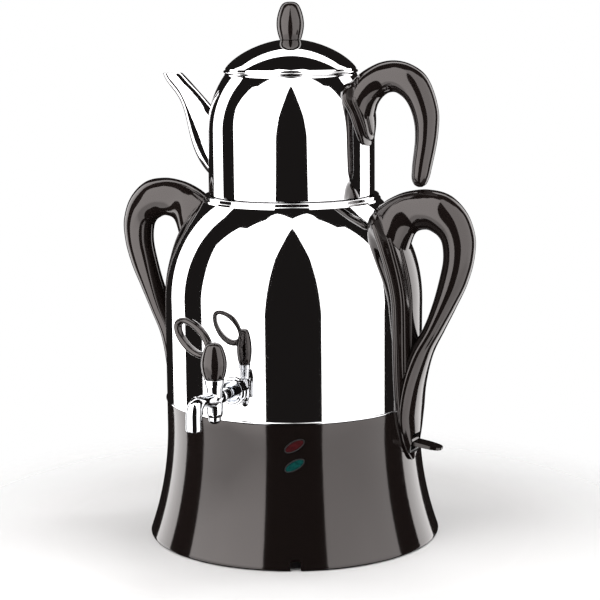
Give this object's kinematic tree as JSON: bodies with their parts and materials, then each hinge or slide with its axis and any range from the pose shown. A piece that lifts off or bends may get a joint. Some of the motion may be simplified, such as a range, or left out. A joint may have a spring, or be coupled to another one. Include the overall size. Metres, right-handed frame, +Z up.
{
  "type": "electric samovar",
  "caption": "Electric samovar: polished steel water tank with a tap and looped handles on a flared black base, with a lidded teapot seated in the tank's mouth.",
  "frame": {"origin": "centre of the foot ring's underside, where the vertical axis of the vessel meets the table", "axes": "+Z up along the vessel's axis, -Y towards the tap, +X towards the handle with the switch, -X towards the teapot's spout"},
  "size_m": [0.304, 0.2815, 0.4162],
  "materials": {
    "black_gloss_plastic": "glossy, moulded",
    "black_matte_plastic": "satin, moulded",
    "black_rubber": "matt",
    "polished_steel": "mirror polished stainless steel",
    "plain_steel": "mill finish",
    "cast_aluminium": "cast",
    "plated_screws": "zinc plated",
    "tap_chrome": "chrome plated, polished",
    "valve_brass": "machined",
    "thermostat_resin": "moulded resin",
    "red_lamp": "clear tinted, unlit",
    "green_lamp": "clear tinted, lit",
    "lamp_glass": "clear"
  },
  "bodies": {
    "samovar": {"base_skirt": "black_gloss_plastic", "base_plate": "black_matte_plastic", "base_screws": "plated_screws", "foot_ring": "black_rubber", "cord_gland": "black_matte_plastic", "terminal_block": "black_matte_plastic", "tank_shell": "polished_steel", "tank_floor": "plain_steel", "heat_spreader": "cast_aluminium", "heating_element": "plain_steel", "element_tabs": "plated_screws", "clamp_bridge": "plain_steel", "tie_stud": "plated_screws", "tie_washer": "plain_steel", "tie_nut": "plated_screws", "thermostats": "thermostat_resin", "thermal_fuse": "cast_aluminium", "seat_ring": "polished_steel", "lamp_bezels": "black_matte_plastic", "red_lens": "red_lamp", "green_lens": "green_lamp", "lamp_holder": "black_matte_plastic", "neon_lamps": "lamp_glass", "left_handle": "black_gloss_plastic", "right_handle": "black_gloss_plastic", "handle_brackets": "plain_steel", "handle_screws": "plated_screws", "switch_body": "black_matte_plastic", "switch_pin": "plated_screws", "tap_rosette": "tap_chrome", "tap_gasket": "black_rubber", "tap_lock_nut": "valve_brass", "tap_body": "tap_chrome", "tap_bottom_cap": "tap_chrome", "tap_spring": "plain_steel", "tap_gland_nut": "tap_chrome"},
    "tap_grip": {"tap_plug": "valve_brass", "tap_handle": "black_gloss_plastic"},
    "switch_rocker": {"switch_lever": "black_gloss_plastic"},
    "teapot": {"teapot_body": "polished_steel", "teapot_base_disc": "cast_aluminium", "teapot_spout": "polished_steel", "teapot_handle": "black_gloss_plastic", "teapot_handle_bracket": "plain_steel", "teapot_handle_screw": "plated_screws"},
    "lid": {"teapot_lid": "polished_steel", "lid_knob": "black_gloss_plastic", "lid_knob_washer": "plain_steel", "lid_knob_screw": "plated_screws"}
  },
  "joints": [
    {"name": "tap_turn", "type": "hinge", "parent": "samovar", "child": "tap_grip", "pos_m": [0, -0.1294, 0.1476], "axis": [0, 0, 1], "range_deg": [0, 90]},
    {"name": "switch_rock", "type": "hinge", "parent": "samovar", "child": "switch_rocker", "pos_m": [0.1015, 0, 0.0815], "axis": [0, -1, 0], "range_deg": [0, 16]},
    {"name": "teapot_lift", "type": "slide", "parent": "samovar", "child": "teapot", "axis": [0, 0, 1], "range_m": [0, 0.2]},
    {"name": "lid_lift", "type": "slide", "parent": "teapot", "child": "lid", "axis": [0, 0, 1], "range_m": [0, 0.15]}
  ]
}
